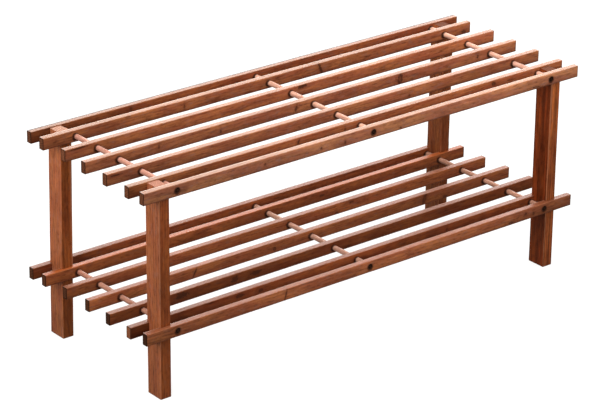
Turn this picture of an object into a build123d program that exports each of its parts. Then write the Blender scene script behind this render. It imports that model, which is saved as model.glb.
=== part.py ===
from build123d import *
import os

# Two-tier slatted bench rack, in millimetres.
# X runs along the slats, Y from front to back and Z up.
# The origin is on the floor, under the middle of the rack.

# Driving dimensions
LENGTH = 740.0               # slats, end to end
HEIGHT = 296.5               # floor to the top of the upper slats
LOWER_TIER_TOP = 102.5       # floor to the top of the lower slats
SLATS_PER_TIER = 7
SLAT_THICKNESS = 9.2         # along Y
SLAT_HEIGHT = 16.4           # along Z
OUTER_GAP = 19.6             # clear space between the two slats that hold a leg
INNER_GAP = 39.1             # clear space between the other slats
LEG_DEPTH = 29.6             # along Y
LEG_WIDTH = 16.6             # along X
LEG_INSET = 28.7             # slat end to the outer face of a leg
LEG_TOP_DROP = 1.5           # leg tops stand this far below the upper slats
HOUSING_PLAY = 0.1           # above and below a slat, in the groove that houses it in a leg
DOWEL_DIAMETER = 7.0
DOWEL_INSET = 51.0           # slat end to the centre of an outer dowel
DOWEL_DROP = 8.3             # slat top to the centre of a dowel
DOWEL_RECESS = 0.5           # dowel ends stand this far inside the outer slats' faces
GLUE_LINE = 0.05             # between a dowel and the wall of its hole

# Eased edges
SLAT_EDGE_RADIUS = 0.8       # along the slat
SLAT_END_CHAMFER = 0.4
LEG_EDGE_RADIUS = 0.8        # along the leg
LEG_END_CHAMFER = 0.5
DOWEL_END_CHAMFER = 0.5
HOLE_RIM_CHAMFER = 0.5       # on the outer face of the first and last slat

# Headless brads that pin each leg between its two slats, under filler
BRAD_DIAMETER = 1.2
BRAD_LENGTH = 16.0
BRAD_COVER = 0.8             # wood filler left between the brad and the slat's face
BRAD_SPACING_X = 7.0         # the two brads of a joint stand apart by this, along X ...
BRAD_SPACING_Z = 5.0         # ... and by this, along Z, so that they don't split the slat

# Worked out from the dimensions above
SLAT_GAPS = [OUTER_GAP] + [INNER_GAP] * (SLATS_PER_TIER - 3) + [OUTER_GAP]
DEPTH = SLATS_PER_TIER * SLAT_THICKNESS + sum(SLAT_GAPS)
LEG_X = LENGTH / 2 - LEG_INSET - LEG_WIDTH / 2
DOWEL_X = LENGTH / 2 - DOWEL_INSET
HOLE_RADIUS = DOWEL_DIAMETER / 2 + GLUE_LINE
TIER_TOPS = {"upper": HEIGHT, "lower": LOWER_TIER_TOP}
DOWEL_PLACES = {"left": -DOWEL_X, "centre": 0.0, "right": DOWEL_X}
SIDES = {"left": -1, "right": 1}
LEG_ROWS = {"rear": 0, "front": SLATS_PER_TIER - 2}   # index of the slat behind each leg


def slat_centres():
    """The Y of each slat's middle, from the rear slat to the front one."""
    y = DEPTH / 2 - SLAT_THICKNESS / 2
    centres = [y]
    for gap in SLAT_GAPS:
        y -= SLAT_THICKNESS + gap
        centres.append(y)
    return centres


SLAT_Y = slat_centres()


def y_cylinder(radius, length, x, y, z):
    """A cylinder along Y, centred on (x, y, z)."""
    return Pos(x, y, z) * Rot(90, 0, 0) * Cylinder(radius, length)


def leg_joints():
    """Each place where a slat is pinned to a leg: tier, slat number, side and driving direction."""
    joints = []
    for tier in TIER_TOPS:
        for index in LEG_ROWS.values():
            for side in SIDES.values():
                joints.append((tier, index, side, -1))
                joints.append((tier, index + 1, side, 1))
    return joints


def brads(tier, slat_index=None, row_index=None):
    """The brads of one tier, or only those in one slat, or in the leg in front of one slat."""
    pins = []
    for joint_tier, index, side, direction in leg_joints():
        leg_row = index if direction < 0 else index - 1
        if joint_tier != tier:
            continue
        if slat_index is not None and index != slat_index:
            continue
        if row_index is not None and leg_row != row_index:
            continue
        outer_face = SLAT_Y[index] - direction * SLAT_THICKNESS / 2
        y = outer_face + direction * (BRAD_COVER + BRAD_LENGTH / 2)
        for k in (-0.5, 0.5):
            x = side * LEG_X + k * BRAD_SPACING_X
            z = TIER_TOPS[tier] - SLAT_HEIGHT / 2 + direction * k * BRAD_SPACING_Z
            pins.append(y_cylinder(BRAD_DIAMETER / 2, BRAD_LENGTH, x, y, z))
    return pins


def slat(tier, index):
    """One slat with its long edges rounded, its dowel holes and the holes that its brads made."""
    y = SLAT_Y[index]
    top = TIER_TOPS[tier]
    body = Box(LENGTH, SLAT_THICKNESS, SLAT_HEIGHT)
    body = fillet(body.edges().filter_by(Axis.X), SLAT_EDGE_RADIUS)
    ends = body.faces().sort_by(Axis.X)
    body = chamfer(ends[0].edges() + ends[-1].edges(), SLAT_END_CHAMFER)
    body = Pos(0, y, top - SLAT_HEIGHT / 2) * body
    for x in DOWEL_PLACES.values():
        z = top - DOWEL_DROP
        body -= y_cylinder(HOLE_RADIUS, 2 * SLAT_THICKNESS, x, y, z)
        if index in (0, SLATS_PER_TIER - 1):
            outward = 1 if index == 0 else -1
            rim = Cone(HOLE_RADIUS, HOLE_RADIUS + HOLE_RIM_CHAMFER, HOLE_RIM_CHAMFER)
            face = y + outward * (SLAT_THICKNESS - HOLE_RIM_CHAMFER) / 2
            body -= Pos(x, face, z) * Rot(-90 * outward, 0, 0) * rim
    for pin in brads(tier, slat_index=index):
        body -= pin
    return body


def dowel(tier, x):
    """One round rod that runs through all the slats of a tier."""
    length = DEPTH - 2 * DOWEL_RECESS
    rod = Cylinder(DOWEL_DIAMETER / 2, length)
    rod = chamfer(rod.edges().filter_by(GeomType.CIRCLE), DOWEL_END_CHAMFER)
    return Pos(x, 0, TIER_TOPS[tier] - DOWEL_DROP) * Rot(90, 0, 0) * rod


def leg(side, row_index):
    """One leg with the grooves that house two slats of each tier, and the holes that its brads made."""
    height = HEIGHT - LEG_TOP_DROP
    y = (SLAT_Y[row_index] + SLAT_Y[row_index + 1]) / 2
    body = Box(LEG_WIDTH, LEG_DEPTH, height)
    body = fillet(body.edges().filter_by(Axis.Z), LEG_EDGE_RADIUS)
    ends = body.faces().sort_by(Axis.Z)
    body = chamfer(ends[0].edges() + ends[-1].edges(), LEG_END_CHAMFER)
    body = Pos(side * LEG_X, y, height / 2) * body
    groove = Box(2 * LEG_WIDTH, SLAT_THICKNESS, SLAT_HEIGHT + 2 * HOUSING_PLAY)
    for top in TIER_TOPS.values():
        for slat_y in SLAT_Y[row_index:row_index + 2]:
            body -= Pos(side * LEG_X, slat_y, top - SLAT_HEIGHT / 2) * groove
    for tier in TIER_TOPS:
        for pin in brads(tier, row_index=row_index):
            if pin.center().X * side > 0:
                body -= pin
    return body


def write(name, shape):
    shape.label = name
    export_step(shape, f"parts/{name}.step")


os.makedirs("parts", exist_ok=True)

for tier in TIER_TOPS:
    for index in range(SLATS_PER_TIER):
        write(f"{tier}_slat_{index + 1}", slat(tier, index))
    for place, x in DOWEL_PLACES.items():
        write(f"{tier}_dowel_{place}", dowel(tier, x))
    write(f"{tier}_leg_brads", Compound(children=brads(tier)))

for row, index in LEG_ROWS.items():
    for name, side in SIDES.items():
        write(f"leg_{row}_{name}", leg(side, index))

print(f"rack {LENGTH:.1f} x {DEPTH:.1f} x {HEIGHT:.1f} mm")
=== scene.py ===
import math
import bmesh
import bpy
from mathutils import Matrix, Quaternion, Vector, noise


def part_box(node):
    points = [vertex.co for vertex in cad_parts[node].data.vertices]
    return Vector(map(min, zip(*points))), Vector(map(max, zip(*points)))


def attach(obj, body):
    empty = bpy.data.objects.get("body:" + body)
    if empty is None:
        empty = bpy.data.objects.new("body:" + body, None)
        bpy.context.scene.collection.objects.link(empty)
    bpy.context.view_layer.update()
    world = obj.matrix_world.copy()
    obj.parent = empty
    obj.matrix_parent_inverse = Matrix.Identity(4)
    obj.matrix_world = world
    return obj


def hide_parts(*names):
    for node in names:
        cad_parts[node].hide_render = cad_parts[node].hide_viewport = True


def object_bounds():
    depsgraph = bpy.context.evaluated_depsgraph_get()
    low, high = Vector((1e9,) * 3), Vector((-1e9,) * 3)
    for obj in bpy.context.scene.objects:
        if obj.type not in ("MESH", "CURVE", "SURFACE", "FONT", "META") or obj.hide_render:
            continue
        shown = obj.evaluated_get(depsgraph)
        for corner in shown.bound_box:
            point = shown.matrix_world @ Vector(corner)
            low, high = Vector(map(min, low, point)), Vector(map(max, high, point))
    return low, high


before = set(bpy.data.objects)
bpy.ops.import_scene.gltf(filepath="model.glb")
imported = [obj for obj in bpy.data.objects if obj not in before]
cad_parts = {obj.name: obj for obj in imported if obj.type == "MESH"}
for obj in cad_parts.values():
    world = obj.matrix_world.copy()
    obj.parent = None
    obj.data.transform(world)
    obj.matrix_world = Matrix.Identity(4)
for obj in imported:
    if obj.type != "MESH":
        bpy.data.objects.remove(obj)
cad_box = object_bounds()
MM = 0.001
# The axis that a piece's grain runs along, and then the two axes across it
GRAIN_ORDER = {"X": (0, 1, 2), "Y": (1, 0, 2), "Z": (2, 0, 1)}

# ---------------------------------------------------------------- camera

LENS = 166.59                    # mm, on a 36 mm sensor
CAMERA_AZIMUTH = 39.16           # degrees, from +Y towards +X
CAMERA_ELEVATION = 23.77         # degrees above the horizon
CAMERA_ROLL = 0.84               # degrees
CAMERA_DISTANCE = 3.7740         # metres, from what it looks at
CAMERA_TARGET_OFFSET = Vector((-0.0140, 0.0021, -0.0124))   # metres, from the middle of the rack


def add_camera():
    low, high = cad_box
    target = (Vector(low) + Vector(high)) / 2 + CAMERA_TARGET_OFFSET
    azimuth, elevation = math.radians(CAMERA_AZIMUTH), math.radians(CAMERA_ELEVATION)
    forward = Vector((math.sin(azimuth) * math.cos(elevation),
                      math.cos(azimuth) * math.cos(elevation),
                      -math.sin(elevation)))
    data = bpy.data.cameras.new("camera")
    data.lens = LENS
    camera = bpy.data.objects.new("camera", data)
    camera.rotation_mode = "QUATERNION"
    camera.location = target - forward * CAMERA_DISTANCE
    roll = Quaternion((0, 0, 1), math.radians(CAMERA_ROLL))
    camera.rotation_quaternion = forward.to_track_quat("-Z", "Y") @ roll
    bpy.context.scene.collection.objects.link(camera)
    bpy.context.scene.camera = camera


# ---------------------------------------------------------------- node graphs

class Graph:
    """A material's node tree, with short names for the nodes that the materials need."""

    def __init__(self, name):
        self.material = bpy.data.materials.new(name)
        self.material.use_nodes = True
        self.tree = self.material.node_tree
        self.surface = self.tree.nodes["Principled BSDF"].inputs
        self.place = self.tree.nodes.new("ShaderNodeTexCoord").outputs["Object"]

    def node(self, kind, values=(), **settings):
        made = self.tree.nodes.new(kind)
        for key, value in settings.items():
            setattr(made, key, value)
        for socket, value in zip(made.inputs, values):
            if isinstance(value, bpy.types.NodeSocket):
                self.tree.links.new(value, socket)
            else:
                socket.default_value = value
        return made

    def link(self, output, socket):
        self.tree.links.new(output, self.surface[socket])

    def maths(self, operation, *values):
        return self.node("ShaderNodeMath", values, operation=operation).outputs[0]

    def add(self, a, b):
        return self.maths("ADD", a, b)

    def times(self, a, b):
        return self.maths("MULTIPLY", a, b)

    def times_add(self, a, b, c):
        return self.maths("MULTIPLY_ADD", a, b, c)

    def vector(self, operation, *values):
        made = self.node("ShaderNodeVectorMath", values, operation=operation)
        return made.outputs["Value" if operation == "LENGTH" else "Vector"]

    def join(self, x, y, z):
        return self.node("ShaderNodeCombineXYZ", (x, y, z)).outputs[0]

    def split(self, vector):
        return self.node("ShaderNodeSeparateXYZ", (vector,)).outputs

    def noise(self, vector, scale, detail=3.0, roughness=0.5):
        made = self.node("ShaderNodeTexNoise")
        self.tree.links.new(self.vector("MULTIPLY", vector, scale), made.inputs["Vector"])
        made.inputs["Scale"].default_value = 1.0
        made.inputs["Detail"].default_value = detail
        made.inputs["Roughness"].default_value = roughness
        return made.outputs[0]

    def span(self, value, low, high, out_low=0.0, out_high=1.0, kind="SMOOTHSTEP"):
        made = self.node("ShaderNodeMapRange", interpolation_type=kind)
        self.tree.links.new(value, made.inputs["Value"])
        for key, number in (("From Min", low), ("From Max", high),
                            ("To Min", out_low), ("To Max", out_high)):
            made.inputs[key].default_value = number
        return made.outputs["Result"]

    def mix(self, share, a, b, blend="MIX"):
        made = self.node("ShaderNodeMix", data_type="RGBA", blend_type=blend)
        for key, value in (("Factor_Float", share), ("A_Color", a), ("B_Color", b)):
            socket = next(s for s in made.inputs if s.identifier == key)
            if isinstance(value, bpy.types.NodeSocket):
                self.tree.links.new(value, socket)
            elif isinstance(value, float):
                socket.default_value = value
            else:
                socket.default_value = (*value, 1)
        return next(s for s in made.outputs if s.identifier == "Result_Color")

    def cover(self, colour, mask, share, other):
        """A colour with another laid over it: where the mask is 1, that share of it is covered."""
        return self.mix(self.times(mask, share), colour, other)

    def filtered(self, colour, other):
        """A colour multiplied by another."""
        return self.mix(1.0, colour, other, "MULTIPLY")


# ---------------------------------------------------------------- light and floor

LIGHT_TARGET = Vector((0.0, 0.0, 0.15))
# Each lamp's name, place and size in metres, and power in watts
SOFTBOXES = (
    ("sheen_behind", (1.5, 1.85, 1.25), (2.6, 1.5), 80),
    ("overhead", (0.0, -0.1, 2.3), (2.4, 1.6), 62),
    ("fill_left", (-1.7, -0.5, 0.95), (0.9, 0.9), 30),
    ("fill_front", (-0.2, -2.3, 1.5), (2.0, 1.2), 36),
)
WORLD_COLOUR, WORLD_STRENGTH = (1.0, 0.98, 0.96, 1), 0.24
FLOOR_REACH = 8.0                # metres, from the middle to each edge
PAPER_COLOUR = (0.16, 0.16, 0.16, 1)
PAPER_GLOW, PAPER_GLOW_STRENGTH = (1.0, 0.995, 0.985, 1), 0.86
PAPER_GRAIN = (30, 30, 30)       # noise cells for each metre
PAPER_ROUGHNESS = (0.86, 0.92)


def softbox(name, place, size, power):
    data = bpy.data.lights.new(name, "AREA")
    data.shape = "RECTANGLE"
    data.size, data.size_y = size
    data.energy = power
    lamp = bpy.data.objects.new(name, data)
    lamp.location = place
    lamp.rotation_mode = "QUATERNION"
    lamp.rotation_quaternion = (LIGHT_TARGET - Vector(place)).to_track_quat("-Z", "Y")
    bpy.context.scene.collection.objects.link(lamp)


def add_studio():
    world = bpy.data.worlds.new("studio")
    world.use_nodes = True
    background = world.node_tree.nodes["Background"]
    background.inputs["Color"].default_value = WORLD_COLOUR
    background.inputs["Strength"].default_value = WORLD_STRENGTH
    scene = bpy.context.scene
    scene.world = world
    scene.view_settings.view_transform = "Standard"
    for lamp in SOFTBOXES:
        softbox(*lamp)


def add_floor():
    reach = FLOOR_REACH
    mesh = bpy.data.meshes.new("floor")
    corners = [(-reach, -reach, 0), (reach, -reach, 0), (reach, reach, 0), (-reach, reach, 0)]
    mesh.from_pydata(corners, [], [(0, 1, 2, 3)])
    floor = bpy.data.objects.new("floor", mesh)
    bpy.context.scene.collection.objects.link(floor)
    graph = Graph("floor_paper")
    grain = graph.noise(graph.place, PAPER_GRAIN, detail=2)
    graph.surface["Base Color"].default_value = PAPER_COLOUR
    graph.surface["Emission Color"].default_value = PAPER_GLOW
    graph.surface["Emission Strength"].default_value = PAPER_GLOW_STRENGTH
    graph.surface["Specular IOR Level"].default_value = 0.0
    graph.link(graph.span(grain, 0.0, 1.0, *PAPER_ROUGHNESS), "Roughness")
    mesh.materials.append(graph.material)
    # Backlit white paper, which takes no shadow; the rack is lit by the lamps and the world alone
    floor.visible_diffuse = False
    floor.visible_glossy = False


# ---------------------------------------------------------------- wood

# Stained softwood, in linear light: the two hues that it wanders between, the dark lines in it, its greyer
# flecks, its wear colour, which also serves as a painted highlight on edges and upper faces, and a cut end.
# Then the growth rings' spacing in mm, and how strongly the rings and the fine streaks darken it.
SLAT_LOOK = {"warm": (0.375, 0.117, 0.039), "red": (0.295, 0.079, 0.032), "dark": (0.085, 0.020, 0.008),
             "ash": (0.230, 0.096, 0.062), "worn": (0.46, 0.22, 0.13), "end": (0.120, 0.042, 0.020),
             "ring": 3.1, "rings": 0.34, "streaks": 0.42}
LEG_LOOK = {"warm": (0.352, 0.107, 0.036), "red": (0.302, 0.081, 0.031), "dark": (0.085, 0.020, 0.008),
            "ash": (0.230, 0.092, 0.058), "worn": (0.50, 0.22, 0.12),
            "ring": 3.6, "rings": 0.50, "streaks": 0.50}
DOWEL_LOOK = {"warm": (0.600, 0.345, 0.225), "red": (0.555, 0.300, 0.200), "dark": (0.300, 0.110, 0.060),
              "ash": (0.450, 0.260, 0.180), "end": (0.012, 0.005, 0.003),
              "ring": 2.3, "rings": 0.25, "streaks": 0.35}
KNOT_CORE = (0.035, 0.010, 0.005)
# Stain round the joints, darker still as a painted contact shadow
ROOT_STAIN_AND_SHADOW = (0.022, 0.006, 0.003)
SOAKED_STAIN = (0.040, 0.012, 0.006)
# How much of the stain under each is covered
HALO_SHARE, CORE_SHARE = 0.30, 0.82      # round a knot, and its middle
EDGE_WEAR_AND_HIGHLIGHT_SHARE, TOP_HIGHLIGHT_SHARE = 0.30, 0.40     # rubbed edges with a painted highlight on them, and a slat's upper face painted paler as a painted highlight
LOWER_ARRIS_SHADE_SHARE, ROOT_STAIN_AND_SHADOW_SHARE = 0.70, 0.92     # painted shade along a slat's lower arrises, and stain round the joints with a painted contact shadow
SOAKED_SHARE, LEG_SOAKED_SHARE = 0.75, 0.5
ASH_SHARE = 0.55
SPECULAR_LEVEL, SPECULAR_TINT = 0.22, (1.0, 0.45, 0.25, 1)
RELIEF_STRENGTH, RELIEF_DEPTH = 0.5, 0.12 * MM
SEED_STEP = (317.3, 53.1, 91.7)  # mm, how far apart two seeds are cut from the same endless plank


class Wood(Graph):
    """Stained softwood for one piece, with its grain along one of the piece's axes: X for a slat, Y for a
    dowel and Z for a leg. Places and sizes are in millimetres from the piece's middle: u runs along the
    grain, and v and w across it."""

    def __init__(self, name, low, high, along, look, seed):
        super().__init__(name)
        self.look, self.seed = look, seed
        self.is_slat, self.is_dowel, self.is_leg = (along == axis for axis in "XYZ")
        order = GRAIN_ORDER[along]
        half = (high - low) / 2 / MM
        local = self.vector("SUBTRACT", self.place, (low + high) / 2)
        sockets = self.split(self.vector("MULTIPLY", local, (1 / MM,) * 3))
        self.u, self.v, self.w = (sockets[k] for k in order)
        self.half_u, self.half_v, self.half_w = (half[k] for k in order)
        self.from_end, self.from_v, self.from_w = (
            self.maths("SUBTRACT", limit, self.maths("ABSOLUTE", distance))
            for limit, distance in ((self.half_u, self.u), (self.half_v, self.v), (self.half_w, self.w)))
        self.on_end = self.span(self.from_end, 0.42, 0.2)
        grain = self.join(self.u, self.v, self.w)
        self.shifted = self.vector("ADD", grain, [seed * step for step in SEED_STEP])
        self.fibre = self.streak(22, 0.55, 3, 0.65)
        self.fleck = self.streak(13, 2.2, 3, 0.6)
        self.dash = self.span(self.streak(8, 0.45, 2), 0.63, 0.74)
        self.late = None         # where the late wood of each growth ring is

    def streak(self, length, width, detail=3.0, roughness=0.5):
        """Noise drawn out along the grain, with cells of this length and width in mm."""
        return self.noise(self.shifted, (1 / length, 1 / width, 1 / width), detail, roughness)

    def wander(self, length, width, detail, low, high):
        """The same noise, as a number from low to high."""
        return self.span(self.streak(length, width, detail), 0.0, 1.0, low, high, "LINEAR")

    def grow(self, knots):
        """Growth rings round a pith that lies beside the piece and drifts along it, pushed aside by the
        knots. Returns the knots' cores and the halos round them."""
        turn = self.seed * 2.4
        pith_v, pith_w = 34 * math.cos(turn), 38 * math.sin(turn)
        drift = 0.025 * math.sin(self.seed * 1.7)
        across_v = self.add(self.times_add(self.u, drift, self.v), -pith_v)
        across_w = self.add(self.times_add(self.u, -drift, self.w), -pith_w)
        across_v = self.add(across_v, self.wander(230, 60, 1, -8.0, 8.0))
        radius = self.vector("LENGTH", self.join(0.0, across_v, across_w))
        radius = self.add(radius, self.wander(30, 5, 2, -0.9, 0.9))

        cores, halos = None, None
        ragged = self.wander(3.0, 1.8, 3, -0.9, 0.9)
        for place, height, size_u, size_w, hollow, slant in knots:
            off_w = self.add(self.w, -height)
            off_u = self.times_add(off_w, -slant, self.add(self.u, -place))
            near = self.join(self.times(off_u, 1 / size_u), self.times(off_w, 1 / size_w), 0.0)
            distance = self.add(self.vector("LENGTH", near), ragged)
            core = self.span(distance, 1.15, 0.70)
            if hollow:
                core = self.times(core, self.span(distance, 0.25, 0.65, 1.0 - hollow, 1.0))
            halo = self.span(distance, 3.4, 0.9)
            radius = self.times_add(halo, 5.0, radius)
            cores = core if cores is None else self.maths("MAXIMUM", cores, core)
            halos = halo if halos is None else self.maths("MAXIMUM", halos, halo)

        phase = self.maths("FRACT", self.maths("DIVIDE", radius, self.look["ring"]))
        self.late = self.times(self.span(phase, 0.30, 0.86), self.span(phase, 1.0, 0.88))
        return cores, halos

    def stain(self):
        """The stain before anything is done to the wood: two hues, with dark lines and greyer flecks."""
        look = self.look
        hue = self.streak(70, 13, 3, 0.6)
        patch = self.streak(38, 7, 3, 0.6)
        mottle = self.streak(6.5, 3.2, 3, 0.6)
        ashen = self.streak(11, 4.0, 3, 0.6)
        colour = self.mix(self.span(hue, 0.36, 0.62), look["warm"], look["red"])
        darkness = self.times(self.late, look["rings"])
        for layer, share in ((self.span(self.fibre, 0.42, 0.72), look["streaks"]),
                             (self.span(patch, 0.48, 0.72), 0.55), (self.span(self.fleck, 0.50, 0.70), 0.66),
                             (self.span(mottle, 0.50, 0.70), 0.44), (self.dash, 0.40)):
            darkness = self.times_add(layer, share, darkness)
        colour = self.mix(self.span(darkness, 0.0, 1.6, 0.0, 0.92, "LINEAR"), colour, look["dark"])
        return self.mix(self.span(ashen, 0.50, 0.72, 0.0, ASH_SHARE), colour, look["ash"])

    def tone_along(self, tones):
        """How light the stain is, with painted light and shade in it, at even steps from one end of the piece
        to the other.
        """
        if len(tones) == 1:
            return tones[0]
        steps = len(tones) - 1
        tone = None
        for k in range(steps):
            start, stop = (self.half_u * (2 * j / steps - 1) for j in (k, k + 1))
            if tone is None:
                tone = self.span(self.u, start, stop, tones[0], tones[1], "LINEAR")
            else:
                rise = self.span(self.u, start, stop, 0.0, tones[k + 1] - tones[k], "LINEAR")
                tone = self.add(tone, rise)
        return tone

    def toned(self, colour, tones, tint, shaded_side, stripes):
        """A colour made lighter or darker over the length and the width of the piece, and tinted: the wood's
        own tone with painted light and shade in it.
        """
        shade = self.times(self.span(self.streak(170, 30, 1), 0.3, 0.7, 0.88, 1.12), self.tone_along(tones))
        shade = self.times(shade, self.span(self.streak(24, 3.2, 2), 0.3, 0.7, 0.90, 1.12))
        if self.is_slat:
            # Painted shade: each slat painted darker towards its lower edge and lighter towards its upper
            # edge
            height = self.add(self.w, self.wander(26, 4, 2, -3.0, 3.0))
            shade = self.times(shade, self.span(height, -self.half_w, self.half_w, 0.72, 1.16, "LINEAR"))
        if stripes:
            stripe = self.streak(130, 2.6, 2, 0.6)
            shade = self.times(shade, self.span(stripe, 0.36, 0.62, 1.0 + stripes * 0.6, 1.0 - stripes))
        # Painted shade: one side of the piece painted darker, where less light reaches it
        if shaded_side:
            start, width, tone = shaded_side
            boundary = self.add(self.v, self.wander(60, 4, 2, -1.5, 1.5))
            shade = self.times(shade, self.span(boundary, start, start + width, tone, 1.0))
        green, blue = tint
        return self.filtered(colour, self.join(shade, self.times(shade, green), self.times(shade, blue)))

    def edge_wear_and_highlight(self, colour):
        """Edges along the piece made lighter in patches: wear, with a painted highlight on them."""
        from_edge = self.maths("MAXIMUM", self.from_v, self.from_w)
        uneven = self.add(from_edge, self.wander(11, 1.2, 3, -0.5, 0.9))
        return self.cover(colour, self.span(uneven, 1.1, 0.4), EDGE_WEAR_AND_HIGHLIGHT_SHARE, self.look["worn"])

    def slat_faces(self, colour, top_light_and_shade, rear):
        """A slat's upper face painted paler all over as a painted highlight, then given its own painted light
        and shade;
        a painted shade along its lower arrises, and a painted shade line along its rear top edge."""
        # Painted highlight and shade: the upper face painted paler, then given its own light and shade
        top = self.span(self.w, self.half_w - 0.5, self.half_w - 0.15)
        colour = self.cover(colour, top, TOP_HIGHLIGHT_SHARE, self.look["worn"])
        colour = self.mix(top, colour, self.filtered(colour, top_light_and_shade))
        # Painted shade: each slat painted darker along its lower arrises
        height = self.add(self.w, self.wander(14, 1.5, 2, -0.6, 0.6))
        lower_arris_shade = self.span(height, 2.4 - self.half_w, 0.6 - self.half_w)
        colour = self.cover(colour, lower_arris_shade, LOWER_ARRIS_SHADE_SHARE, self.look["dark"])
        # Painted shade line along the rear top edge
        rear_shade_colour, reach, share = rear
        rear_shade_line = self.times(self.span(self.v, self.half_v - reach, self.half_v - reach / 2), top)
        return self.cover(colour, rear_shade_line, share, rear_shade_colour)

    def stain_and_shadow_at_roots(self, colour, roots):
        """Stain that collected where another piece goes through or in, darkened further as a painted contact
        shadow.
        """
        for shape, place, across, inner, outer in roots:
            along = self.add(self.u, -place)
            if shape == "ring":
                spread = self.vector("LENGTH", self.join(along, self.add(self.w, -across), 0.0))
            else:
                spread = self.maths("ABSOLUTE", along)
            stain_and_shadow = self.span(self.add(spread, self.span(self.fleck, 0.3, 0.7, -0.6, 0.6)), outer, inner)
            colour = self.cover(colour, stain_and_shadow, ROOT_STAIN_AND_SHADOW_SHARE, ROOT_STAIN_AND_SHADOW)
        return colour

    def cut_ends(self, colour, end, end_tone):
        """Cut ends soak up more stain, most of all along their arrises, and it creeps a little way along
        the grain. A dowel's end is also painted darker round its edge, a painted shade of the gap round it in
        its hole."""
        creep = self.add(self.from_end, self.wander(5, 0.9, 3, -1.2, 1.2))
        share = LEG_SOAKED_SHARE if self.is_leg else SOAKED_SHARE
        colour = self.cover(colour, self.span(creep, 1.5, 0.2), share, SOAKED_STAIN)
        pores = self.span(self.noise(self.shifted, (2.2, 2.2, 2.2), 2), 0.38, 0.62, 0.50, 1.25)
        shade = self.times(pores, self.span(self.late, 0.0, 1.0, 1.2 * end_tone, 0.65 * end_tone))
        if self.is_dowel:
            # Painted shade: a dark ring round a dowel's end, where the gap round it in its hole lies in shade
            rim = self.maths("SUBTRACT", self.half_v, self.vector("LENGTH", self.join(0.0, self.v, self.w)))
            shade = self.times(shade, self.span(rim, 0.7, 1.8, 0.35, 1.6))
        if self.is_slat:
            nearest = self.maths("MINIMUM", self.from_v, self.from_w)
            shade = self.times(shade, self.span(nearest, 0.3, 1.6, 0.22, 1.25))
        return self.mix(self.on_end, colour, self.filtered(end, self.join(shade, shade, shade)))

    def varnish(self, colour):
        """Links the colour, and a roughness and a fine relief that follow the grain."""
        self.link(colour, "Base Color")
        rough = self.span(self.fibre, 0.3, 0.7, 0.36, 0.50)
        self.link(self.times_add(self.on_end, 0.45, rough), "Roughness")
        self.surface["Specular IOR Level"].default_value = SPECULAR_LEVEL
        self.surface["Specular Tint"].default_value = SPECULAR_TINT
        relief = self.times_add(self.late, -0.35, self.fibre)
        relief = self.times_add(self.dash, -0.9, relief)
        bump = self.node("ShaderNodeBump")
        bump.inputs["Strength"].default_value = RELIEF_STRENGTH
        bump.inputs["Distance"].default_value = RELIEF_DEPTH
        self.tree.links.new(relief, bump.inputs["Height"])
        self.link(bump.outputs["Normal"], "Normal")


def wood(name, low, high, along, look, seed, tones, tint, knots=(), roots=(), end=None, end_tone=1.0,
         front=None, shaded_side=None, stripes=0.0, top_light_and_shade=None, rear=None):
    """The stained wood of one piece, in millimetres from its middle.
    tones: how light the stain is, with painted light and shade in it, at even steps from one end of the piece
    to the other.
    tint: how much more green and blue than the look's own colours.
    knots: (place along the piece, height on its face, size along, size across, how hollow, slant).
    roots: where stain collected round a joint, with a painted contact shadow, as (shape, place, place across,
    inner reach, outer reach).
    end, end_tone: the colour of the end grain, where it isn't the look's own, and how light it is.
    front: painted light and shade on a leg's front face, as red, green and blue against its other faces.
    shaded_side: (place across the piece, width, tone) of painted shade on its low side.
    stripes: how strongly dark and light stripes go the length of a leg.
    top_light_and_shade: painted light and shade on a slat's upper face, as red, green and blue against its
    other faces.
    rear: a painted shade line along a slat's rear top edge, as (colour, width, how much of it covers the
    stain)."""
    stock = Wood(name, low, high, along, look, seed)
    cores, halos = stock.grow(knots)
    colour = stock.toned(stock.stain(), tones, tint, shaded_side, stripes)
    if stock.is_leg:
        # Painted light and shade: a leg's front face painted darker or lighter than its other faces
        painted_front_face = stock.span(stock.w, 1.0 - stock.half_w, 0.1 - stock.half_w)
        colour = stock.mix(painted_front_face, colour, stock.filtered(colour, front))
    if knots:
        colour = stock.cover(colour, halos, HALO_SHARE, look["dark"])
        colour = stock.cover(colour, cores, CORE_SHARE, KNOT_CORE)
    if not stock.is_dowel:
        # Lighter edges: wear and a painted highlight
        colour = stock.edge_wear_and_highlight(colour)
    if stock.is_slat:
        colour = stock.slat_faces(colour, top_light_and_shade, rear)
    colour = stock.stain_and_shadow_at_roots(colour, roots)
    colour = stock.cut_ends(colour, end or look["end"], end_tone)
    stock.varnish(colour)
    return stock.material


# ---------------------------------------------------------------- meshes

ARC_STEPS = 4                    # faces round each rounded edge of a bar
SIDE_GAP = 2.6                   # mm, about how far apart the points are along a bar's outline
BAR_GAP, DOWEL_GAP = 7 * MM, 9 * MM  # about how far apart the outlines are along a bar or a dowel
# How far a bar bends across its two widths, how unevenly its faces are planed, and what share of its edges'
# radius comes and goes. Then their noise cells for each metre: the planing has two, along and across the bar.
BOW, SWAY, PLANING, WEAR = 0.22 * MM, 0.16 * MM, 0.035 * MM, 0.35
BEND_CELLS, PLANING_CELLS, WEAR_CELLS = 2.6, (55, 420), 34
GROOVE_RADIUS, LEAST_RADIUS = 0.25 * MM, 0.3 * MM    # of an edge in a groove, and at the least elsewhere
EASING_ANGLES = (0, 22.5, 45, 67.5, 90)          # degrees, where the outlines stand round an eased end
ROD_FACES, HOLE_FACES = 40, 32   # faces round a dowel, and round the hole for it
SHARP_ANGLE = 32                 # degrees


def side_steps(half_a, half_b):
    """How many steps each straight side of an outline is divided into."""
    return [max(1, round((2 * half / MM - 1) / SIDE_GAP)) for half in (half_a, half_b)]


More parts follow.
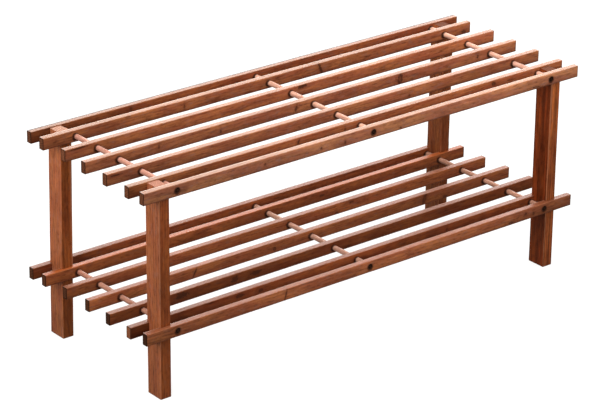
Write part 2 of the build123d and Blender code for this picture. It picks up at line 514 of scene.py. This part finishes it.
def rounded_outline(half_a, half_b, radius, steps):
    """Points round a rectangle with rounded corners, with a few along each straight side."""
    points = []
    for k, (sign_a, sign_b) in enumerate(((1, 1), (-1, 1), (-1, -1), (1, -1))):
        centre = ((half_a - radius) * sign_a, (half_b - radius) * sign_b)
        for step in range(ARC_STEPS + 1):
            angle = math.radians(90 * (k + step / ARC_STEPS))
            points.append((centre[0] + radius * math.cos(angle), centre[1] + radius * math.sin(angle)))
        length = 2 * (half_a if k % 2 == 0 else half_b) - 2 * radius
        start = points[-1]
        step_a, step_b = ((-length, 0), (0, -length), (length, 0), (0, length))[k]
        for step in range(1, steps[k % 2]):
            points.append((start[0] + step_a * step / steps[k % 2], start[1] + step_b * step / steps[k % 2]))
    return points


def end_stations(length, easing, gap):
    """Distances along a piece, with the outline's inset at each: rounded over at both ends."""
    over = [(easing * (1 - math.cos(a)), easing * (1 - math.sin(a)))
            for a in (math.radians(d) for d in EASING_ANGLES)]
    count = round((length - 2 * easing) / gap)
    inner = [(easing + (length - 2 * easing) * k / count, 0.0) for k in range(1, count)]
    return over + inner + [(length - s, inset) for s, inset in reversed(over)]


def tube_faces(rows, columns):
    """Side faces between rows of points, and a cap at each end."""
    faces = []
    for row in range(rows - 1):
        for k in range(columns):
            following = (k + 1) % columns
            faces.append((row * columns + k, row * columns + following,
                          (row + 1) * columns + following, (row + 1) * columns + k))
    faces.append(tuple(range(columns - 1, -1, -1)))
    faces.append(tuple((rows - 1) * columns + k for k in range(columns)))
    return faces


def tube(name, verts, rows):
    """A closed mesh object from rows of points."""
    mesh = bpy.data.meshes.new(name)
    mesh.from_pydata(verts, [], tube_faces(rows, len(verts) // rows))
    mesh.update()
    obj = bpy.data.objects.new(name, mesh)
    bpy.context.scene.collection.objects.link(obj)
    return obj


def grooved(stations, length, grooves):
    """Adds the walls of grooves, given as (start, stop, depth), to a piece's (distance, inset) stations."""
    rows = [(s, inset, 0.0) for s, inset in stations]
    for start, stop, depth in grooves:
        before = [row for row in rows if row[0] < start]
        inside = [(s, inset, depth) for s, inset, _ in rows if start < s < stop]
        after = [row for row in rows if row[0] > stop]
        rows = before + [(start, 0.0, 0.0), (start, 0.0, depth)] + inside
        if stop < length:
            rows += [(stop, 0.0, depth), (stop, 0.0, 0.0)] + after
    return rows


def plank(name, low, high, along, radius, easing, seed, grooves=(), lean=0.0):
    """A planed bar with rounded edges, as straight and as even as a real one: not quite.
    lean: how far its far end stands aside."""
    middle, half = (low + high) / 2, (high - low) / 2
    order = GRAIN_ORDER[along]
    length, half_a, half_b = 2 * half[order[0]], half[order[1]], half[order[2]]
    stations = grooved(end_stations(length, easing, BAR_GAP), length, grooves)
    steps = side_steps(half_a, half_b)
    verts = []
    planing_s, planing_ab = PLANING_CELLS
    for s, inset, depth in stations:
        bow = noise.noise(Vector((s * BEND_CELLS, seed * 5.3, 1.7))) * BOW
        sway = noise.noise(Vector((s * BEND_CELLS, seed * 5.3, 9.1))) * SWAY
        worn = radius * (1.0 + WEAR * noise.noise(Vector((s * WEAR_CELLS, seed * 3.1, 4.4))))
        corner = GROOVE_RADIUS if depth else max(worn - 0.4 * inset, LEAST_RADIUS)
        for a, b in rounded_outline(half_a - inset, half_b - inset - depth, corner, steps):
            planed = noise.noise(Vector((s * planing_s, a * planing_ab + seed, b * planing_ab))) * PLANING
            point = [0.0, 0.0, 0.0]
            point[order[0]] = s - length / 2
            point[order[1]] = a * (1 + planed / half_a) + sway + lean * s / length
            point[order[2]] = b * (1 + planed / half_b) + bow
            verts.append(middle + Vector(point))
    return tube(name, verts, len(stations))


def lathe(name, profile, x, z, segments):
    """A turned piece about a line along Y: profile is (y, radius) from one end to the other."""
    verts = []
    for y, radius in profile:
        for k in range(segments):
            angle = 2 * math.pi * k / segments
            verts.append((x + radius * math.sin(angle), y, z + radius * math.cos(angle)))
    return tube(name, verts, len(profile))


def joined(objects):
    with bpy.context.temp_override(active_object=objects[0], selected_editable_objects=objects):
        bpy.ops.object.join()
    return objects[0]


def face_outward(mesh):
    work = bmesh.new()
    work.from_mesh(mesh)
    bmesh.ops.recalc_face_normals(work, faces=work.faces)
    work.to_mesh(mesh)
    work.free()


def cut(obj, cutter):
    """Subtracts the cutter from the object for good."""
    for each in (obj, cutter):
        face_outward(each.data)
    modifier = obj.modifiers.new("holes", "BOOLEAN")
    modifier.operation = "DIFFERENCE"
    modifier.solver = "EXACT"
    modifier.object = cutter
    bpy.context.view_layer.update()
    cut_mesh = bpy.data.meshes.new_from_object(obj.evaluated_get(bpy.context.evaluated_depsgraph_get()))
    obj.modifiers.clear()
    obj.data = cut_mesh
    bpy.data.objects.remove(cutter)


def smooth(obj):
    face_outward(obj.data)
    obj.data.shade_smooth()
    obj.data.set_sharp_from_angle(angle=math.radians(SHARP_ANGLE))
    weighted = obj.modifiers.new("weighted_normals", "WEIGHTED_NORMAL")
    weighted.keep_sharp = True


def settle(obj, node, material):
    """Puts a finished piece in the place of its CAD node."""
    smooth(obj)
    obj.data.materials.clear()
    obj.data.materials.append(material)
    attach(obj, "root")
    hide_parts(node)


# ---------------------------------------------------------------- the rack

TIERS = ("upper", "lower")
SLATS = range(1, 8)              # from the back to the front
DOWEL_PLACES = ("left", "centre", "right")
SLAT_RADIUS, SLAT_EASING = 0.8 * MM, 0.4 * MM
LEG_RADIUS, LEG_EASING = 0.8 * MM, 0.5 * MM
DOWEL_EASING = 0.5 * MM
HOLE_CLEARANCE = 0.05 * MM
HOLE_OVERSHOOT = 2 * MM          # how far a hole's cutter stands out of the slat
RIM_CHAMFER = 0.5 * MM
HOUSING_PLAY = 0.15 * MM
SLAT_SEED, LEG_SEED, DOWEL_SEED = 2, 31, 41
# Stain and a painted contact shadow on a slat round each dowel, in mm: its middle from the dowel's, along and
# up, and its radii; it sits left of and below the dowel, where the shadow falls
RING_SHIFT, RING_RADII = (-0.9, -0.6), (3.7, 6.6)
# Stain and the slat's painted shadow on a dowel beside each slat: its reach beyond the slat's face, in mm
BAND_REACH = (1.0, 3.2)

# How light each slat's stain is, at even steps from its left end to its right end: partly its own tone,
# partly painted light and shade, the lower tier painted darker where the upper tier shades it
SLAT_TONES = {
    "upper": ((0.35, 0.6, 0.8, 0.75, 0.95), (0.65, 0.8, 0.95, 1.0, 1.15), (0.75, 0.85, 1.1, 1.2, 1.4),
              (0.8, 0.8, 0.95, 1.15, 1.35), (0.65, 0.95, 1.1, 1.1, 1.15), (0.45, 0.8, 0.95, 1.0, 1.1),
              (0.85, 1.1, 1.2, 1.4, 1.5)),
    "lower": ((0.45, 0.7, 0.7, 0.6, 0.8), (0.6, 0.65, 0.75, 0.7, 0.9), (0.55, 0.8, 0.7, 0.85, 0.95),
              (1.0, 0.85, 0.95, 0.75, 0.9), (0.45, 0.45, 0.55, 0.5, 0.6), (0.25, 0.55, 0.6, 0.55, 0.7),
              (0.7, 0.9, 1.1, 1.05, 0.7)),
}
# Green and blue in each slat's stain, against the look's own: the lower tier's redder tints are partly
# painted shade
SLAT_TINTS = {
    "upper": ((0.9, 0.85), (1.05, 1.1), (1.04, 1.1), (1.1, 1.3), (1.1, 1.25), (1.0, 1.0), (1.25, 1.6)),
    "lower": ((0.8, 0.7), (0.9, 0.8), (0.95, 0.9), (1.0, 0.97), (0.85, 0.7), (0.8, 0.65), (1.05, 1.1)),
}
# Knots on each slat, in mm: place from its middle, height from its middle, size along, size across,
# how hollow, and how far it slants along for each mm up
SLAT_KNOTS = {
    "upper_slat_1": ((-210, 2, 2.0, 3.0, 0.5, 0.0),),
    "upper_slat_2": ((91, 0, 2.6, 9.0, 0.0, -0.45), (-143, -1, 1.4, 3.0, 0.5, 0.0),
                     (357, -4, 5.0, 2.0, 0.3, 0.0)),
    "upper_slat_3": ((18, 5, 9.0, 2.6, 0.0, 0.0), (-350, 6, 16.0, 1.3, 0.0, 0.0)),
    "upper_slat_4": ((154, 0, 4.6, 8.5, 0.60, 0.1), (-29, 0, 2.2, 4.0, 0.2, 0.3),
                     (-255, 1, 1.6, 3.0, 0.6, 0.0), (-155, -2, 1.5, 2.6, 0.6, 0.0),
                     (297, 1, 1.8, 3.2, 0.5, 0.0)),
    "upper_slat_5": ((-355, 4, 9.0, 1.3, 0.0, 0.2), (130, -3, 1.4, 2.0, 0.6, 0.0)),
    "upper_slat_6": ((-100, 2, 1.8, 3.2, 0.0, 0.5), (-22, 0, 1.3, 2.6, 0.6, 0.0),
                     (241, 3, 4.2, 2.8, 0.3, -0.3)),
    "upper_slat_7": ((-180, 0, 1.3, 1.6, 0.5, 0.0), (-88, -1, 1.6, 1.6, 0.2, 0.0),
                     (-48, -3, 1.3, 2.8, 0.4, 0.0), (47, -5, 2.0, 1.3, 0.5, 0.0),
                     (292, -5, 6.0, 1.5, 0.6, 0.0)),
    "lower_slat_2": ((100, 1, 4.5, 1.6, 0.4, 0.0),),
    "lower_slat_3": ((115, 4, 4.5, 1.6, 0.3, 0.0), (88, -5, 3.0, 1.5, 0.5, 0.0)),
    "lower_slat_4": ((-198, 0, 1.7, 6.0, 0.0, 0.5), (-63, -2, 3.0, 3.0, 0.5, 0.0),
                     (206, 0, 3.6, 8.5, 0.5, 0.3), (245, -5, 5.0, 2.0, 0.4, 0.0)),
    "lower_slat_5": ((-255, 2, 12.0, 4.0, 0.0, 0.0), (-168, 0, 6.0, 5.0, 0.2, 0.4),
                     (-132, 1, 10.0, 3.0, 0.1, 0.0)),
    "lower_slat_6": ((-195, 3, 7.0, 3.0, 0.2, 0.0), (-160, 1, 4.0, 2.6, 0.2, 0.0),
                     (165, 0, 1.6, 2.4, 0.2, 0.0)),
    "lower_slat_7": ((-145, 0, 1.0, 10.0, 0.0, 0.25), (255, -5, 5.0, 1.8, 0.4, 0.0),
                     (282, 1, 2.2, 2.2, 0.4, 0.0), (297, -2, 2.0, 2.4, 0.4, 0.0)),
}
# How light the end grain of each slat is
SLAT_END_TONES = {"upper": (0.7, 0.75, 1.0, 0.6, 0.75, 0.75, 0.7),
                  "lower": (0.45, 0.5, 0.4, 0.4, 0.25, 1.3, 0.2)}
# Painted shade lines along the rear top arrises, as (colour, width in mm, how much of it covers the stain),
# for a tier or for one slat
REAR_SHADE_LINES = {"upper": ((0.44, 0.34, 0.27), 2.4, 0.65), "lower": ((0.20, 0.10, 0.065), 2.4, 0.65),
                "upper_slat_1": ((0.030, 0.016, 0.012), 3.6, 1.0)}
# Red, green and blue laid on the upper faces against the other faces, for a tier or for one slat: painted
# light and shade, the lower tier's tops painted darker where the upper tier shades them
TOP_FACE_LIGHT_AND_SHADE = {"upper": (0.70, 0.73, 0.69), "lower": (0.56, 0.42, 0.34), "lower_slat_2": (0.90, 0.55, 0.27)}
# How far each slat's left and right ends stand along X from their true places, in mm: the slats weren't lined
# up with care, and some are a little short
SLAT_ENDS = {
    "upper": ((1.8, 0.4), (1.4, 0.4), (2.4, 2.4), (0.0, 0.6), (-1.0, -1.0), (-2.0, -2.0), (0.0, 0.6)),
    "lower": ((-0.6, -6.0), (0.0, -2.0), (0.0, -3.4), (2.0, -1.3), (0.5, 0.5), (-1.4, -3.0), (3.0, 1.0)),
}

PALE_END, PINK_END, BROWN_END = (0.400, 0.215, 0.150), (0.340, 0.150, 0.100), (0.120, 0.034, 0.014)
# Each leg's stain with painted shade, as wood() takes it; the tones go from its foot up, and are painted
# darker towards the foot as shade
LEG_STAINS_AND_SHADES = {
    "leg_rear_left": {"tones": (0.95, 1.15, 1.42, 1.42, 1.2), "tint": (1.05, 1.1), "end": PALE_END,
                      "front": (0.53, 0.44, 0.30), "stripes": 0.10},
    "leg_rear_right": {"tones": (0.75, 0.8, 0.85, 1.05, 1.15), "tint": (1.0, 0.9), "end": BROWN_END,
                       "front": (0.95, 0.88, 0.82), "stripes": 0.15},
    "leg_front_left": {"tones": (0.9, 0.9, 0.92, 1.05, 1.2), "tint": (1.03, 1.05), "end": PINK_END,
                       "front": (0.66, 0.55, 0.40), "stripes": 0.10},
    "leg_front_right": {"tones": (0.74, 0.96, 1.03, 1.12, 1.1), "tint": (0.64, 0.39), "end": BROWN_END,
                        "front": (1.22, 1.65, 1.95), "shaded_side": (-8.2, 1.8, 0.6), "stripes": 0.40},
}
# How far each leg's foot and top stand along X from their true places, in mm
LEG_LEANS = {"leg_rear_left": (0.0, 3.4), "leg_rear_right": (0.0, 0.4),
             "leg_front_left": (0.0, -1.8), "leg_front_right": (2.4, 0.0)}
# How much of a leg's front face is planed away, in mm
LEG_PLANED = {"leg_front_left": 1.7}
# How light each dowel's stain is, and its green and blue against the look's own: partly its own tone, partly
# painted shade, the lower dowels painted darker under the upper tier
DOWEL_STAINS_AND_SHADES = {
    "upper_dowel_left": (0.68, (0.86, 0.95)), "lower_dowel_left": (0.60, (0.86, 0.88)),
    "upper_dowel_centre": (1.0, (1.0, 1.08)), "lower_dowel_centre": (0.75, (0.98, 1.05)),
    "upper_dowel_right": (1.1, (1.02, 1.12)), "lower_dowel_right": (0.66, (0.94, 0.96)),
}
# How far the dowels sit along X from their true places, in mm
DOWEL_SHIFTS = {"upper": 1.6, "lower": 1.5}
# The brads' drawn steel: its noise cells for each metre, its darkest and lightest colours, and its roughness
BRAD_CELLS = (9000, 300, 9000)
BRAD_COLOURS, BRAD_ROUGHNESS = ((0.50, 0.50, 0.51), (0.62, 0.62, 0.63)), (0.25, 0.4)


def dowel_box(tier, place):
    shift = Vector((DOWEL_SHIFTS[tier] * MM, 0, 0))
    low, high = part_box(f"{tier}_dowel_{place}")
    return low + shift, high + shift


def hole_cutter(tier, slat_low, slat_high, rim_side):
    """Three hole shapes for one slat, each with its rim eased on the outer face of an outer slat.
    rim_side: 1 where that face is the rear one, -1 where it is the front one, and 0 on an inner slat."""
    front, back = slat_low.y, slat_high.y
    cutters = []
    for place in DOWEL_PLACES:
        low, high = dowel_box(tier, place)
        radius = (high.x - low.x) / 2 + HOLE_CLEARANCE
        wide = radius + RIM_CHAMFER + HOLE_OVERSHOOT
        profile = [(front - HOLE_OVERSHOOT, radius), (back + HOLE_OVERSHOOT, radius)]
        if rim_side < 0:
            profile = [(front - HOLE_OVERSHOOT, wide), (front + RIM_CHAMFER, radius), profile[1]]
        if rim_side > 0:
            profile = [profile[0], (back - RIM_CHAMFER, radius), (back + HOLE_OVERSHOOT, wide)]
        cutters.append(lathe("hole", profile, (low.x + high.x) / 2, (low.z + high.z) / 2, HOLE_FACES))
    return joined(cutters)


def slat_roots(tier, middle):
    """Where stain collected round the dowels that go through a slat, with a painted contact shadow."""
    roots = []
    for place in DOWEL_PLACES:
        low, high = dowel_box(tier, place)
        offset = ((low + high) / 2 - middle) / MM
        roots.append(("ring", offset.x + RING_SHIFT[0], offset.z + RING_SHIFT[1], *RING_RADII))
    return roots


def add_slats():
    for row, tier in enumerate(TIERS):
        for k, number in enumerate(SLATS):
            node = f"{tier}_slat_{number}"
            low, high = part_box(node)
            left, right = SLAT_ENDS[tier][k]
            low, high = low + Vector((left * MM, 0, 0)), high + Vector((right * MM, 0, 0))
            seed = SLAT_SEED + k + 10 * row
            board = plank(f"{node}_board", low, high, "X", SLAT_RADIUS, SLAT_EASING, seed)
            rim_side = {SLATS[0]: 1, SLATS[-1]: -1}.get(number, 0)
            cut(board, hole_cutter(tier, low, high, rim_side))
            material = wood(f"{node}_wood", low, high, "X", SLAT_LOOK, seed, SLAT_TONES[tier][k],
                            SLAT_TINTS[tier][k], knots=SLAT_KNOTS.get(node, ()),
                            roots=slat_roots(tier, (low + high) / 2), end_tone=SLAT_END_TONES[tier][k],
                            top_light_and_shade=TOP_FACE_LIGHT_AND_SHADE.get(node, TOP_FACE_LIGHT_AND_SHADE[tier]),
                            rear=REAR_SHADE_LINES.get(node, REAR_SHADE_LINES[tier]))
            settle(board, node, material)


def leg_grooves(low, high):
    """Where the slats of each tier are housed in a leg, as grooved() takes it: start and stop from its foot,
    and the depth on each side."""
    grooves = []
    for tier in reversed(TIERS):
        crossing = [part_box(f"{tier}_slat_{number}") for number in SLATS]
        crossing = [box for box in crossing if box[0].y < high.y and box[1].y > low.y]
        depth = max(slat_high.y - low.y for slat_low, slat_high in crossing if slat_low.y < low.y)
        slat_low, slat_high = crossing[0]
        grooves.append((slat_low.z - HOUSING_PLAY - low.z, slat_high.z + HOUSING_PLAY - low.z, depth))
    return grooves


def add_legs():
    for k, (node, stain) in enumerate(LEG_STAINS_AND_SHADES.items()):
        low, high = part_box(node)
        foot, top = LEG_LEANS[node]
        low = low + Vector((foot, LEG_PLANED.get(node, 0.0), 0)) * MM
        high = high + Vector((foot, 0, 0)) * MM
        seed = LEG_SEED + k
        post = plank(f"{node}_post", low, high, "Z", LEG_RADIUS, LEG_EASING, seed, leg_grooves(low, high),
                     (top - foot) * MM)
        material = wood(f"{node}_wood", low, high, "Z", LEG_LOOK, seed, **stain)
        settle(post, node, material)


def dowel_roots(tier, middle):
    """Where stain collected on a dowel beside each slat that it goes through, with the slat's painted shadow.
    """
    roots = []
    for number in SLATS:
        low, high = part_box(f"{tier}_slat_{number}")
        thick = (high.y - low.y) / MM / 2
        inner, outer = (thick + reach for reach in BAND_REACH)
        roots.append(("band", ((low.y + high.y) / 2 - middle) / MM, 0, inner, outer))
    return roots


def add_dowels():
    for row, tier in enumerate(TIERS):
        for k, place in enumerate(DOWEL_PLACES):
            node = f"{tier}_dowel_{place}"
            low, high = dowel_box(tier, place)
            middle = (low + high) / 2
            radius = (high.x - low.x) / 2
            seed = DOWEL_SEED + k + 5 * row
            stations = end_stations(high.y - low.y, DOWEL_EASING, DOWEL_GAP)
            profile = [(low.y + s, radius - inset) for s, inset in stations]
            rod = lathe(f"{node}_rod", profile, middle.x, middle.z, ROD_FACES)
            tone, tint = DOWEL_STAINS_AND_SHADES[node]
            material = wood(f"{node}_wood", low, high, "Y", DOWEL_LOOK, seed, (tone,), tint,
                            roots=dowel_roots(tier, middle.y))
            settle(rod, node, material)


def dress_brads():
    """Drawn steel on the hidden brads, which keep their CAD shape."""
    graph = Graph("brad_steel")
    drawn = graph.noise(graph.place, BRAD_CELLS, detail=2)
    graph.link(graph.mix(drawn, *BRAD_COLOURS), "Base Color")
    graph.link(graph.span(drawn, 0.3, 0.7, *BRAD_ROUGHNESS), "Roughness")
    graph.surface["Metallic"].default_value = 1.0
    for tier in TIERS:
        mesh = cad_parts[f"{tier}_leg_brads"].data
        for k in range(len(mesh.materials)):
            mesh.materials[k] = graph.material


add_camera()
add_studio()
add_floor()
add_slats()
add_legs()
add_dowels()
dress_brads()
